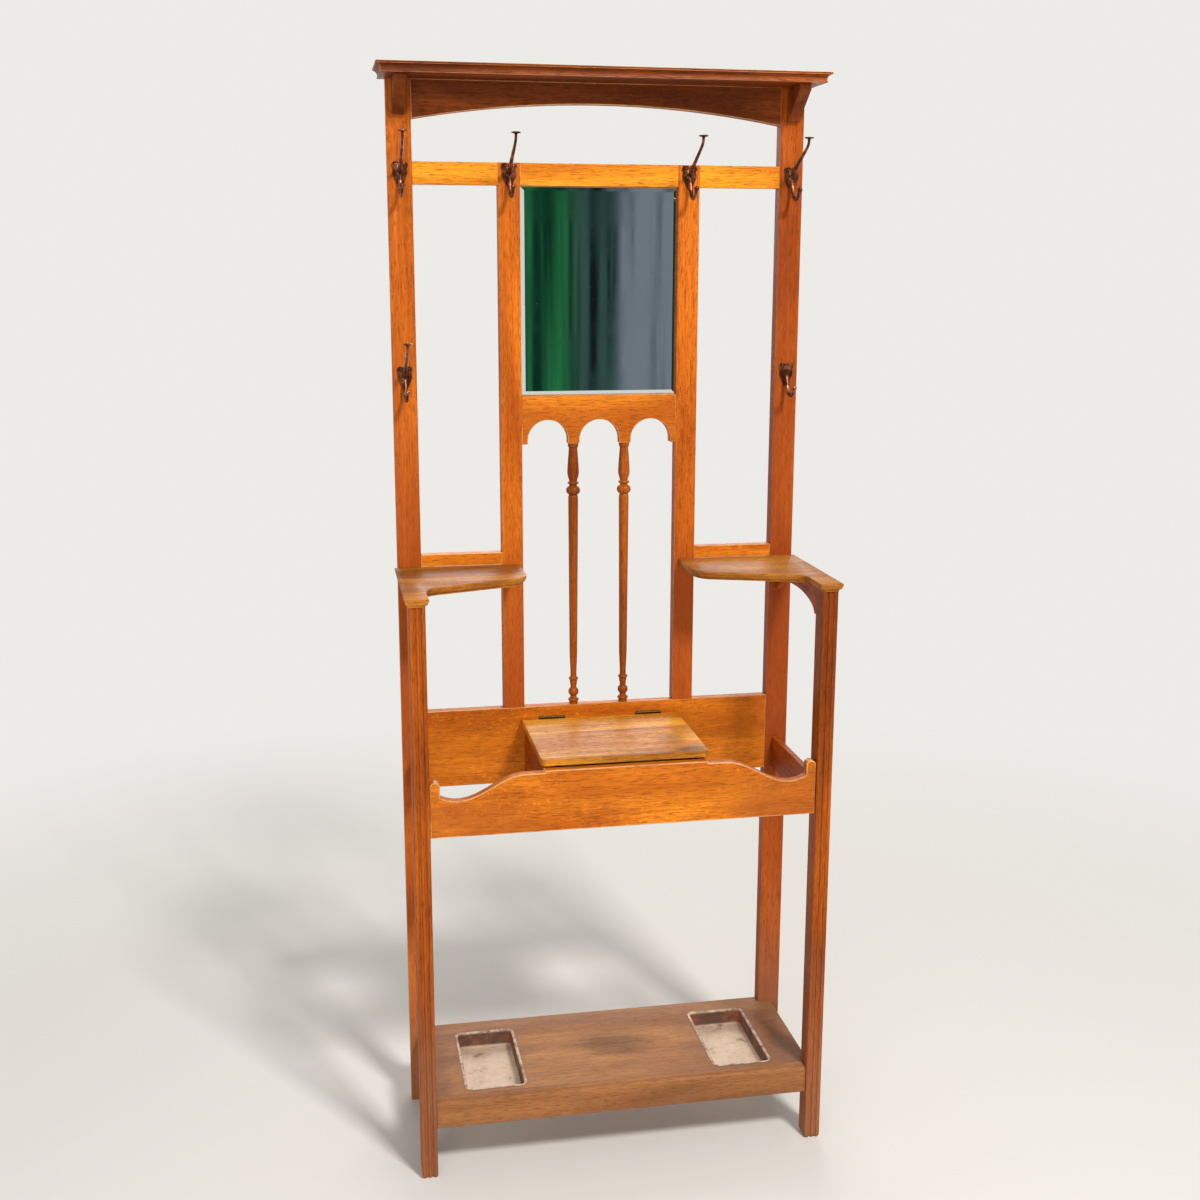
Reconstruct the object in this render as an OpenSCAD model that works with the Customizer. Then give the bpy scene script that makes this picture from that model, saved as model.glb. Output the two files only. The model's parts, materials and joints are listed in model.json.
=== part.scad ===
// Free-standing hall stand in oak: cornice, hook rail with six coat hooks, bevelled mirror over an
// arcaded rail on two turned spindles, a pair of glove shelves, a lidded glove box between two
// umbrella wells, and a base board with two lift-out drip trays.
// Millimetres, +Z up, +Y to the wall. Origin: on the floor, at the middle of the overall size.

/* [Overall] */
// height to the top of the cornice
stand_h = 1960; // [1500:5:2400]
// width over the outer faces of the stiles and legs
stand_w = 756; // [600:2:920]
// depth from the wall face of the stiles to the front of the shelves
stand_d = 308; // [250:1:380]

/* [Back frame] */
// width of each outer stile
stile_w = 43; // [30:0.5:60]
// thickness of the stiles
frame_t = 26; // [20:0.5:34]
// thickness of the rails between the stiles
rail_t = 20; // [14:0.5:26]
// half the clear width between the inner stiles
bay_half = 145; // [110:1:170]
// width of each inner stile
inner_w = 39; // [26:0.5:52]
// drop from the cornice top to the top of the hook rail
hook_drop = 155; // [110:1:200]
// height of the hook rail
hook_rail_h = 39; // [28:1:60]
// height of the mirror opening
mirror_h = 372; // [260:1:460]
// width of the bevel round the mirror glass
bevel_w = 10; // [5:0.5:20]
// height of the arcaded rail
arcade_h = 89; // [70:1:120]
// radius of each arch in the arcaded rail
arch_r = 37.5; // [28:0.5:42]
// rise of the arch in the lower edge of the top rail
top_arch_rise = 30; // [10:1:40]
// depth of the top rail at its ends
top_rail_end = 67; // [45:1:80]
// height of the wide back board
board_h = 150; // [110:1:190]

/* [Cornice] */
// thickness of the cornice board
cornice_t = 17; // [12:0.5:26]
// side overhang past the stiles
cornice_side = 20; // [10:1:30]
// front overhang past the face of the frame
cornice_front = 96; // [70:1:120]
// radius of the cove run round the edge
cornice_cove = 8; // [4:0.5:11]
// width of each corbel
corbel_w = 22; // [14:1:30]
// height of each corbel
corbel_h = 60; // [40:1:80]
// reach of each corbel at the top
corbel_d = 70; // [45:1:88]

/* [Shelves] */
// height of the shelf tops above the floor
shelf_z = 1082; // [900:1:1200]
// thickness of each shelf
shelf_t = 15; // [12:0.5:22]
// overhang of the shelf past the leg
shelf_over = 7; // [4:0.5:12]
// gap from the middle of the stand to the inner end of a shelf
shelf_in = 153; // [130:1:190]
// height of the upstand rail behind each shelf
shelf_rail_h = 23; // [15:1:40]
// depth of the side apron at its ends
side_apron_h = 49; // [38:1:70]
// rise of the arch in the side apron
side_arch_rise = 28; // [12:1:34]

/* [Front legs] */
// width of each front leg
leg_w = 29; // [22:0.5:40]
// depth of each front leg
leg_d = 38; // [26:0.5:46]
// radius of the two grooves between the reeds
groove_r = 2.6; // [1:0.1:4]

/* [Seat-level frame] */
// underside of the front apron and back board above the floor
seat_z = 653; // [560:1:720]
// thickness of the front apron
apron_t = 18; // [14:0.5:24]
// set-back of the apron from the front of the legs
apron_back = 6; // [2:0.5:12]
// height of the apron in the middle, under the lid
apron_mid_h = 113; // [90:1:130]
// height of the apron at its lowest point
apron_low_h = 66; // [48:1:80]
// height of the side rails
side_rail_h = 64; // [45:1:80]
// thickness of the side rails and side aprons
side_t = 12; // [9:0.5:16]

/* [Glove box] */
// thickness of the box sides
box_t = 12; // [8:0.5:16]
// thickness of the lid
lid_t = 12; // [9:0.5:18]
// overhang of the lid past each box side
lid_over = 6; // [2:0.5:10]
// set-back of the lid's front edge from the apron face
lid_back = 12; // [2:0.5:16]
// radius of the lid's front corners
lid_r = 9; // [3:1:20]
// distance from each end of the lid to the middle of its hinge
hinge_inset = 57; // [32:1:90]
// width of the fixed strip the lid is hinged to
ledge_w = 12; // [10:1:34]
// opening angle shown when the part is previewed
lid_angle = 0; // [0:1:93]

/* [Base] */
// height of the base board's top above the floor
base_z = 146; // [110:1:200]
// thickness of the base board
base_t = 20; // [14:1:26]
// underside of the base rails above the floor
base_under = 95; // [60:1:105]
// thickness of the front base rail
base_rail_t = 20; // [16:1:26]
// distance from a glove box side to the tray opening
tray_in = 36; // [20:1:60]
// distance from a leg's inner face to the tray opening
tray_out = 60; // [30:1:80]
// depth of each drip tray
tray_h = 33; // [22:1:45]
// sheet thickness of the trays
sheet = 1; // [0.6:0.1:2]
// corner radius of the tray opening
tray_r = 10; // [4:1:20]

/* [Hooks] */
// rise of the long arm from the middle of the plate to its knob
hook_rise = 68; // [50:1:85]
// forward reach of the long arm
hook_reach = 98; // [70:1:110]
// diameter of the knob
knob_d = 17; // [12:0.5:22]
// share of the way from shelf to hook rail at which the lower hooks sit
low_hook_at = 0.492; // [0.4:0.01:0.7]

/* [Hidden] */
$fn = 48;
half_w = stand_w/2;
yb = stand_d/2;                       // wall face
yf = yb - frame_t;                    // front face of the back frame
yl = -stand_d/2 + shelf_over;         // front face of the legs
leg_in = half_w - leg_w;              // inner face of the legs
leg_yb = yl + leg_d;                  // back face of the legs
st_in = half_w - stile_w;             // inner face of the outer stiles
bay_out = bay_half + inner_w;         // outer face of the inner stiles
cz = stand_h - cornice_t;             // underside of the cornice
hr_top = stand_h - hook_drop;
hr_bot = hr_top - hook_rail_h;
arc_top = hr_bot - mirror_h;
arc_bot = arc_top - arcade_h;
arch_z = arc_bot + 7;                 // springing of the arches
board_top = seat_z + board_h;
hook_z = hr_top - 25;                 // middle of the upper hook plates
low_z = shelf_z + low_hook_at*(hook_z - shelf_z);
hook_x = [-(half_w - stile_w/2), -(bay_half + inner_w/2), bay_half + inner_w/2, half_w - stile_w/2];
ap_y0 = yl + apron_back;              // front face of the apron
ap_y1 = ap_y0 + apron_t;
ap_top = seat_z + apron_mid_h - 1;       // top of the apron in the middle
box_top = ap_top + 4;                 // top of the box sides
box_out = bay_half;                   // outer face of the box sides
gap = 0.3;                            // air between parts that move apart
lid_z0 = box_top + gap;
lid_z1 = lid_z0 + lid_t;
lid_x = box_out + lid_over;
lid_y0 = ap_y0 + lid_back;
ledge_y = yf - ledge_w;               // front face of the fixed strip
leaf_t = 1.2;
knuckle_r = 2.8;
pin_r = 1.2;
hinge_y = ledge_y - leaf_t - 0.2;     // hinge axis
hinge_z = lid_z1 + knuckle_r + 0.2;
lid_y1 = ledge_y - 2*leaf_t - 0.4;    // back edge of the lid
hinge_x = [-lid_x + hinge_inset, lid_x - hinge_inset];
screw_in = 8;                         // depth of a hinge screw in the wood
hinge_len = 50;
br_y0 = yl + apron_back;              // front face of the base rail
bb_y0 = br_y0 + base_rail_t;          // front edge of the base board
bb_y1 = yf + rail_t + 2;              // back edge of the base board
bb_x = leg_in + side_t;               // side edge of the base board
tx0 = box_out + tray_in;
tx1 = leg_in - tray_out;
ty0 = bb_y0 + 16;
ty1 = yf - 23;
oak_red = [0.55, 0.24, 0.10];
oak_honey = [0.74, 0.42, 0.16];
bronze = [0.32, 0.20, 0.12];
brass_c = [0.62, 0.48, 0.24];
zinc = [0.62, 0.58, 0.50];

// ---------- helpers ----------
module block(x0, x1, y0, y1, z0, z1)
    translate([x0, y0, z0]) cube([x1 - x0, y1 - y0, z1 - z0]);

// extrude a drawing in (x, z) from y0 back to y1
module wall_plate(y0, y1) translate([0, y1, 0]) rotate([90, 0, 0]) linear_extrude(y1 - y0) children();

// extrude a drawing in (y, z) from x0 to x1
module side_plate(x0, x1)
    translate([x0, 0, 0]) rotate([90, 0, 90]) linear_extrude(x1 - x0) children();

module flip(s) if (s < 0) mirror([1, 0, 0]) children(); else children();

function arc(cx, cy, r, a0, a1, n = 16) =
    [for (i = [0:n]) [cx + r*cos(a0 + (a1 - a0)*i/n), cy + r*sin(a0 + (a1 - a0)*i/n)]];

// ---------- hooks ----------
screw_at = [[-7, 19], [7, 19], [0, -11]];   // screw positions on a hook plate, (x, z)

module hook_holes(x, z)
    for (s = screw_at) translate([x + s[0], yf - 1, z + s[1]]) rotate([-90, 0, 0]) cylinder(h = 17, r = 1.6);

module rod(a, b, r1, r2) {
    v = b - a;
    h = norm(v);
    translate([0, a[0], a[1]]) rotate([-90 + atan2(v[1], v[0]), 0, 0]) cylinder(h = h, r1 = r1, r2 = r2);
}

// y runs forward as negative values from the plate's seat at 0
module hook_shape(long_arm) {
    difference() {
        union() {
            wall_plate(-3, 0) union() {
                translate([0, 6]) circle(13);
                translate([-7, 18]) circle(7);
                translate([7, 18]) circle(7);
                polygon([[-12.2, 1.5], [12.2, 1.5], [4, -17], [-4, -17]]);
                translate([0, -15]) circle(4.5);
            }
            translate([0, -2, 4]) sphere(7);
        }
        for (s = screw_at) translate([s[0], -4, s[1]]) rotate([-90, 0, 0]) cylinder(h = 6, r = 1.6);
        block(-20, 20, 0, 12, -30, 40);
    }
    difference() {
        union() {
            if (long_arm) {
                rod([-4, 5], [-25, 19.7], 4.2, 3.6);
                rod([-22.5, 18], [-hook_reach + 0.5, hook_rise - 1.5], 3.1, 2.3);
                translate([0, -hook_reach, hook_rise - 2.4]) cylinder(h = 3, r = knob_d/2);
                translate([0, -hook_reach, hook_rise + 0.6]) cylinder(h = 1.4, r1 = knob_d/2, r2 = knob_d/2 - 3);
            } else {
                rod([-4, 5], [-20, 16], 4.2, 3.4);
            }
            rod([-4, 2], [-14.5, -23], 4.2, 3.65);
            rod([-13.2, -20.5], [-30, -34.5], 3.2, 3.2);
            rod([-27.5, -33.2], [-45, -31.8], 2.9, 2.9);
            rod([-42.8, -32.4], [-54, -20], 2.6, 2.6);
            translate([0, -54, -19]) sphere(4.6);
        }
        block(-20, 20, 0, 12, -30, 40);
    }
}

module hook(i, z, long_arm = true) color(bronze) translate([hook_x[i], yf, z]) hook_shape(long_arm);
module hook_outer_left() hook(0, hook_z);
module hook_inner_left() hook(1, hook_z);
module hook_inner_right() hook(2, hook_z);
module hook_outer_right() hook(3, hook_z);
module hook_lower_left() hook(0, low_z);
module hook_lower_right() hook(3, low_z, false);

module round_screw(x, z) translate([x, yf - 3, z]) rotate([90, 0, 0]) {
    difference() {
        translate([0, 0, -1.6]) intersection() {
            sphere(3.6);
            translate([0, 0, 1.6]) cylinder(h = 4, r = 4);
        }
        translate([-4, -0.4, 1.2]) cube([8, 0.8, 2]);
    }
    translate([0, 0, -18]) cylinder(h = 18, r = 1.6);
}
module hook_screws() color(bronze) {
    for (i = [0:3], s = screw_at) round_screw(hook_x[i] + s[0], hook_z + s[1]);
    for (i = [0, 3], s = screw_at) round_screw(hook_x[i] + s[0], low_z + s[1]);
}

// ---------- back frame ----------
module back_stile(s) color(oak_red) difference() {
    flip(s) block(st_in, half_w, yf, yb, 0, cz);
    hook_holes(s*hook_x[3], hook_z);
    hook_holes(s*hook_x[3], low_z);
}
module left_back_stile() back_stile(-1);
module right_back_stile() back_stile(1);

module inner_stile(s) color(oak_red) difference() {
    flip(s) block(bay_half, bay_out, yf, yb, board_top, hr_top);
    hook_holes(s*hook_x[2], hook_z);
}
module left_inner_stile() inner_stile(-1);
module right_inner_stile() inner_stile(1);

module top_rail() {
    r = (st_in*st_in + top_arch_rise*top_arch_rise)/(2*top_arch_rise);
    crown = cz - top_rail_end + top_arch_rise;
    color(oak_honey) difference() {
        block(-st_in, st_in, yf, yf + rail_t, cz - top_rail_end, cz);
        translate([0, yf - 1, crown - r]) rotate([-90, 0, 0]) cylinder(h = rail_t + 2, r = r, $fn = 180);
    }
}

module cornice() {
    xo = half_w + cornice_side;
    y0 = yf - cornice_front;
    zc = cz + 0.3*cornice_t;
    color(oak_honey) difference() {
        block(-xo, xo, y0, yb, cz, stand_h);
        translate([-xo - 1, y0, zc]) rotate([0, 90, 0]) cylinder(h = 2*xo + 2, r = cornice_cove);
        for (s = [-1, 1]) translate([s*xo, y0 - 1, zc]) rotate([-90, 0, 0])
            cylinder(h = stand_d, r = cornice_cove);
    }
}

// bracket under the cornice: fillet, slanted face, short toe
module corbel(s) color(oak_red)
    flip(s) side_plate(half_w - stile_w/2 - corbel_w/2, half_w - stile_w/2 + corbel_w/2)
        polygon([[yf, cz], [yf - corbel_d, cz], [yf - corbel_d, cz - 11], [yf - corbel_d + 3, cz - 13],
            [yf - 13, cz - corbel_h + 6], [yf - 9, cz - corbel_h], [yf, cz - corbel_h]]);
module left_corbel() corbel(-1);
module right_corbel() corbel(1);

module hook_rail_left() color(oak_honey) block(-st_in, -bay_out, yf, yf + rail_t, hr_bot, hr_top);
module hook_rail_centre() color(oak_honey) block(-bay_half, bay_half, yf, yf + rail_t, hr_bot, hr_top);
module hook_rail_right() color(oak_honey) block(bay_out, st_in, yf, yf + rail_t, hr_bot, hr_top);

module arcade_rail() {
    pitch = 2*bay_half/3;
    color(oak_honey) difference() {
        block(-bay_half, bay_half, yf, yf + rail_t, arc_bot, arc_top);
        for (i = [-1:1]) translate([i*pitch, yf - 1, 0]) {
            translate([0, 0, arch_z]) rotate([-90, 0, 0]) cylinder(h = rail_t + 2, r = arch_r, $fn = 96);
            translate([-arch_r, 0, arc_bot - 1]) cube([2*arch_r, rail_t + 2, arch_z - arc_bot + 1]);
        }
    }
}

// turned spindle: collar and vase at the top, tapered shaft, ball and foot at the bottom
module spindle(s) {
    h = arc_bot - board_top;
    x = s*bay_half/3;
    color(oak_red) translate([x, yf + rail_t/2, board_top]) rotate_extrude() polygon(concat(
        [[0, 0], [8, 0], [8, 5]], arc(7, 8, 3.4, -60, 60, 6), [[6.4, 12], [6.4, 15]],
        arc(0, 24, 9.9, -52, 52, 10), [[5.8, 34], [7.4, 46]], arc(6.2, 50, 3, -60, 60, 6),
        [[6, 54], [5.9, 62], [7.2, 90], [9.4, h - 104]], arc(4.5, h - 88, 8.8, -58, 58, 10),
        [[7.4, h - 78]], arc(8, h - 74, 2.6, -60, 60, 6), [[7.6, h - 70], [10.7, h - 60], [10.9, h - 52],
        [9.6, h - 30], [8.2, h - 10], [8.2, h - 8], [9.8, h - 6], [9.8, h], [0, h]]));
}
module left_spindle() spindle(-1);
module right_spindle() spindle(1);

module shelf_rail(s) color(oak_honey) flip(s)
    block(bay_out, st_in, yf, yf + rail_t, shelf_z, shelf_z + shelf_rail_h);
module left_shelf_rail() shelf_rail(-1);
module right_shelf_rail() shelf_rail(1);

module back_board() color(oak_honey) block(-st_in, st_in, yf, yf + rail_t, seat_z, board_top);

// ---------- mirror ----------
glass_y = yf + 6;
module mirror_glass() {
    w = 2*bay_half;
    color([0.8, 0.84, 0.84]) difference() {
        block(-bay_half, bay_half, glass_y, glass_y + 4, arc_top, hr_bot);
        for (s = [-1, 1]) {
            translate([s*bay_half, glass_y, arc_top - 1]) rotate([0, 0, s*8]) translate([-bevel_w, -4, 0])
                cube([2*bevel_w, 4, mirror_h + 2]);
        }
        translate([-bay_half - 1, glass_y, arc_top]) rotate([8, 0, 0]) translate([0, -4, -bevel_w])
            cube([w + 2, 4, 2*bevel_w]);
        translate([-bay_half - 1, glass_y, hr_bot]) rotate([-8, 0, 0]) translate([0, -4, -bevel_w])
            cube([w + 2, 4, 2*bevel_w]);
    }
}
module mirror_backing() color(oak_red) block(-bay_half, bay_half, glass_y + 4, glass_y + 8, arc_top, hr_bot);
module mirror_beads() color(oak_red) {
    y0 = glass_y + 8;
    for (s = [-1, 1]) flip(s) block(bay_half - 9, bay_half, y0, y0 + 6, arc_top, hr_bot);
    block(-bay_half + 9, bay_half - 9, y0, y0 + 6, arc_top, arc_top + 9);
    block(-bay_half + 9, bay_half - 9, y0, y0 + 6, hr_bot - 9, hr_bot);
}

// ---------- front legs and shelves ----------
module front_leg(s) color(oak_red) flip(s) linear_extrude(shelf_z - shelf_t) difference() {
    translate([leg_in, yl]) square([leg_w, leg_d]);
    for (k = [-1, 1]) translate([leg_in + leg_w/2 + k*leg_w/6, yl]) circle(groove_r);
}
module left_front_leg() front_leg(-1);
module right_front_leg() front_leg(1);

// plan of a shelf, stepped in by d all round its free edges
module shelf_plan(d) {
    r1 = 47;
    r2 = 34;
    slope = 19;
    c1 = [shelf_in + r1, yf - 0.35*(yf - yl)];
    e1 = c1 + r1*[cos(270 - slope), sin(270 - slope)];
    xe = leg_in - shelf_over + 1;
    s2x = xe - r2 + r2*sin(slope);
    c2 = [xe - r2, e1[1] - (s2x - e1[0])*tan(slope) - r2*cos(slope)];
    polygon(concat([[shelf_in + d, yf]], arc(c1[0], c1[1], r1 - d, 180, 270 - slope, 14),
        arc(c2[0], c2[1], r2 + d, 90 - slope, 0, 12),
        [[xe + d, yl - shelf_over + d], [half_w + shelf_over - 1 - d, yl - shelf_over + d],
        [half_w + shelf_over - 1 - d, yf]]));
}
module shelf(s) color(oak_honey) flip(s) {
    z0 = shelf_z - shelf_t;
    translate([0, 0, z0]) linear_extrude(0.3*shelf_t) shelf_plan(shelf_over - 1);
    translate([0, 0, z0 + 0.3*shelf_t]) linear_extrude(0.3*shelf_t) shelf_plan(2.5);
    translate([0, 0, z0 + 0.6*shelf_t]) linear_extrude(0.4*shelf_t) shelf_plan(0);
}
module left_shelf() shelf(-1);
module right_shelf() shelf(1);

// rail under the outer edge of a shelf, with an elliptical arch below
module side_apron(s) {
    z1 = shelf_z - shelf_t;
    z0 = z1 - side_apron_h;
    ym = (leg_yb + yf)/2;
    ra = (yf - leg_yb)/2 - 9;
    color(oak_red) flip(s) side_plate(leg_in, leg_in + side_t) polygon(concat(
        [[leg_yb, z1], [leg_yb, z0]],
        [for (i = [0:24]) [ym - ra*cos(i*7.5), z0 + side_arch_rise*sin(i*7.5)]],
        [[yf, z0], [yf, z1]]));
}
module left_side_apron() side_apron(-1);
module right_side_apron() side_apron(1);

// ---------- seat-level frame ----------
// half of the apron's top edge, from the middle outwards
function apron_edge() = let (m = ap_top, f = ap_top - 4, l = seat_z + apron_low_h,
        xs = box_out + 36, xl = leg_in - 49, xe = leg_in - 18) concat(
    [[box_out + 3, m], [box_out + 3, f]],
    [for (i = [0:16]) [xs + (xl - xs)*i/16, l + (f - l)*(1 + cos(180*i/16))/2]],
    [for (i = [1:5]) [xl + (xe - xl)*i/5, l + 8*(i/5)*(i/5)]],
    [[xe, l + 30], [xe + 3, l + 34.5], [xe + 9, l + 36], [xe + 14, l + 34], [leg_in, l + 30]]);

module front_apron() {
    e = apron_edge();
    n = len(e);
    color(oak_honey) wall_plate(ap_y0, ap_y1) polygon(concat(
        [[-leg_in, seat_z], [leg_in, seat_z]], [for (i = [n - 1:-1:0]) e[i]], [for (p = e) [-p[0], p[1]]]));
}

module side_rail(s) color(oak_honey) flip(s)
    block(leg_in, leg_in + side_t, leg_yb, yf, seat_z, seat_z + side_rail_h);
module left_side_rail() side_rail(-1);
module right_side_rail() side_rail(1);

// ---------- glove box ----------
module box_side(s) color(oak_red) flip(s) block(box_out - box_t, box_out, ap_y1, yf, seat_z, box_top);
module box_left_side() box_side(-1);
module box_right_side() box_side(1);
module box_bottom() color(oak_red)
    block(-box_out + box_t, box_out - box_t, ap_y1, yf, seat_z + 8, seat_z + 16);
module box_cleats() color(oak_red) for (s = [-1, 1]) flip(s)
    block(box_out - box_t - 12, box_out - box_t, ap_y1 + 4, yf - 4, seat_z, seat_z + 8);

module hinge_bores(side) for (x = hinge_x, k = [-1, 1])
    translate([x + k*14, side > 0 ? ledge_y - 1 : lid_y1 - screw_in, lid_z0 + lid_t/2]) rotate([-90, 0, 0])
        cylinder(h = screw_in + 1, r = 1.4, $fn = 32);

module lid_ledge() color(oak_honey) difference() {
    block(-lid_x, lid_x, ledge_y, yf, box_top, lid_z1);
    hinge_bores(1);
}

module lid_pose() translate([0, hinge_y, hinge_z]) rotate([-lid_angle, 0, 0])
    translate([0, -hinge_y, -hinge_z]) children();

// board with rounded front corners, hinged along the back
module lid() color(oak_honey) lid_pose() difference() {
    translate([0, 0, lid_z0]) linear_extrude(lid_t) union() {
        translate([-lid_x, lid_y0 + lid_r]) square([2*lid_x, lid_y1 - lid_y0 - lid_r]);
        translate([-lid_x + lid_r, lid_y0]) square([2*(lid_x - lid_r), lid_r + 1]);
        for (s = [-1, 1]) translate([s*(lid_x - lid_r), lid_y0 + lid_r]) circle(lid_r);
    }
    hinge_bores(-1);
}

// one leaf with its knuckles; side +1 is screwed to the strip, -1 to the lid
module leaf(x, side) {
    y0 = side > 0 ? ledge_y - leaf_t : lid_y1;
    difference() {
        translate([x - hinge_len/2, y0, lid_z0 + 0.5]) cube([hinge_len, leaf_t, lid_t - 0.5]);
        for (k = [-1, 1]) translate([x + k*14, y0 - 1, lid_z0 + lid_t/2]) rotate([-90, 0, 0])
            cylinder(h = leaf_t + 2, r = 1.4, $fn = 32);
    }
    spans = side > 0 ? [[-hinge_len/2, -10.2], [10.2, hinge_len/2]] : [[-9.8, 9.8]];
    for (p = spans) difference() {
        union() {
            translate([x + p[0], hinge_y, hinge_z]) rotate([0, 90, 0]) cylinder(h = p[1] - p[0], r = knuckle_r);
            translate([x + p[0], y0, lid_z1]) cube([p[1] - p[0], leaf_t, knuckle_r]);
        }
        translate([x + p[0] - 1, hinge_y, hinge_z]) rotate([0, 90, 0])
            cylinder(h = p[1] - p[0] + 2, r = side > 0 ? pin_r : pin_r + 0.06);
    }
}
module hinge_fixed_leaves() color(brass_c) for (x = hinge_x) leaf(x, 1);
module hinge_lid_leaves() color(brass_c) lid_pose() for (x = hinge_x) leaf(x, -1);
module hinge_pins() color(brass_c) for (x = hinge_x)
    translate([x - hinge_len/2, hinge_y, hinge_z]) rotate([0, 90, 0]) cylinder(h = hinge_len, r = pin_r);
module leaf_screws(side) for (x = hinge_x, k = [-1, 1])
    translate([x + k*14, side > 0 ? ledge_y - leaf_t : lid_y1 - screw_in, lid_z0 + lid_t/2]) rotate([-90, 0, 0])
        cylinder(h = screw_in + leaf_t, r = 1.4, $fn = 32);
module hinge_fixed_screws() color(brass_c) leaf_screws(1);
module hinge_lid_screws() color(brass_c) lid_pose() leaf_screws(-1);

// ---------- base ----------
// plan of a tray, grown by g past the tray body
module tray_plan(g) {
    r = tray_r + g;
    translate([tx0 + tray_r, ty0 - g]) square([tx1 - tx0 - 2*tray_r, ty1 - ty0 + 2*g]);
    translate([tx0 - g, ty0 + tray_r]) square([tx1 - tx0 + 2*g, ty1 - ty0 - 2*tray_r]);
    for (x = [tx0 + tray_r, tx1 - tray_r], y = [ty0 + tray_r, ty1 - tray_r]) translate([x, y]) circle(r);
}

module base_board() color(oak_honey) difference() {
    union() {
        block(-bb_x, bb_x, leg_yb, yf, base_z - base_t, base_z);
        block(-leg_in, leg_in, bb_y0, leg_yb, base_z - base_t, base_z);
        block(-st_in, st_in, yf, bb_y1, base_z - base_t, base_z);
    }
    for (s = [-1, 1]) flip(s) translate([0, 0, base_z - base_t - 1]) linear_extrude(base_t + 2) tray_plan(1);
}

// front rail with a rounded top edge
module base_front_rail() {
    r = 0.6*base_rail_t;
    z1 = base_z + 2;
    color(oak_honey) side_plate(-leg_in, leg_in) union() {
        translate([br_y0, base_under]) square([base_rail_t, z1 - base_under - r]);
        translate([br_y0 + r, base_under]) square([base_rail_t - r, z1 - base_under]);
        intersection() {
            translate([br_y0 + r, z1 - r]) circle(r);
            translate([br_y0, z1 - r]) square(r);
        }
    }
}
module base_back_rail() color(oak_red)
    block(-st_in, st_in, yf, yf + rail_t, base_under, base_z - base_t);
module base_side_rail(s) color(oak_red) flip(s)
    block(leg_in, leg_in + side_t, leg_yb, yf, base_under, base_z - base_t);
module left_base_rail() base_side_rail(-1);
module right_base_rail() base_side_rail(1);
module base_glue_blocks() color(oak_red) for (s = [-1, 1]) flip(s) {
    block(tx0 - 90, tx0 - 30, bb_y0, bb_y0 + 14, base_z - base_t - 18, base_z - base_t);
    block(tx0 - 90, tx0 - 30, yf - 14, yf, base_z - base_t - 18, base_z - base_t);
}

// sheet-metal tray hung by a narrow rim
module drip_tray(s) {
    z1 = base_z + gap;
    color(zinc) flip(s) {
        difference() {
            translate([0, 0, z1 + sheet - tray_h]) linear_extrude(tray_h) tray_plan(0);
            translate([0, 0, z1 + 2*sheet - tray_h]) linear_extrude(tray_h) tray_plan(-sheet);
        }
        translate([0, 0, z1]) linear_extrude(sheet) difference() {
            tray_plan(4);
            tray_plan(-sheet);
        }
    }
}
module left_drip_tray() drip_tray(-1);
module right_drip_tray() drip_tray(1);

left_back_stile();
right_back_stile();
left_inner_stile();
right_inner_stile();
top_rail();
cornice();
left_corbel();
right_corbel();
hook_rail_left();
hook_rail_centre();
hook_rail_right();
arcade_rail();
left_spindle();
right_spindle();
left_shelf_rail();
right_shelf_rail();
back_board();
mirror_glass();
mirror_backing();
mirror_beads();
left_front_leg();
right_front_leg();
left_shelf();
right_shelf();
left_side_apron();
right_side_apron();
front_apron();
left_side_rail();
right_side_rail();
box_left_side();
box_right_side();
box_bottom();
box_cleats();
lid_ledge();
lid();
hinge_fixed_leaves();
hinge_lid_leaves();
hinge_pins();
hinge_fixed_screws();
hinge_lid_screws();
base_board();
base_front_rail();
base_back_rail();
left_base_rail();
right_base_rail();
base_glue_blocks();
left_drip_tray();
right_drip_tray();
hook_outer_left();
hook_inner_left();
hook_inner_right();
hook_outer_right();
hook_lower_left();
hook_lower_right();
hook_screws();
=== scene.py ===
import math

import bmesh
import bpy
from mathutils import Matrix, Vector, noise
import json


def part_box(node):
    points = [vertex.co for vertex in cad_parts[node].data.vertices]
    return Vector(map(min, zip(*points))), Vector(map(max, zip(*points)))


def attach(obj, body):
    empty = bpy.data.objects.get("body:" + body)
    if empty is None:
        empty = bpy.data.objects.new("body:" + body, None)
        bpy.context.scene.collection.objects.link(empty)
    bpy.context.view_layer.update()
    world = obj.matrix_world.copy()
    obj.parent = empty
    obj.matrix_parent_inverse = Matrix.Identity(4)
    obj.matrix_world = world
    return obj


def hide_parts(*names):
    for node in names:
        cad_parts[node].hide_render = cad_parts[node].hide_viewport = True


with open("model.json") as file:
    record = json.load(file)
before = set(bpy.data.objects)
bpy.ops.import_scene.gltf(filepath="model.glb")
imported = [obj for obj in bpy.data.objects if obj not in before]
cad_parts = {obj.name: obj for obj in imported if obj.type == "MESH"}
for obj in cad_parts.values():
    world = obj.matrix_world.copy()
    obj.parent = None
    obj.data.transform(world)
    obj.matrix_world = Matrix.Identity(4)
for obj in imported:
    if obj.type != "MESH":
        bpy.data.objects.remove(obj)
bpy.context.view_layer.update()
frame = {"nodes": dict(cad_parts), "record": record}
NODES = frame["nodes"]
MM = 0.001
SMOOTH_UNDER = math.radians(34)       # faces that meet at less than this are shaded as one

BODY = {}
for body_name, node_names in frame["record"]["behaviour"]["bodies"].items():
    for node_name in node_names:
        BODY[node_name] = body_name


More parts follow.
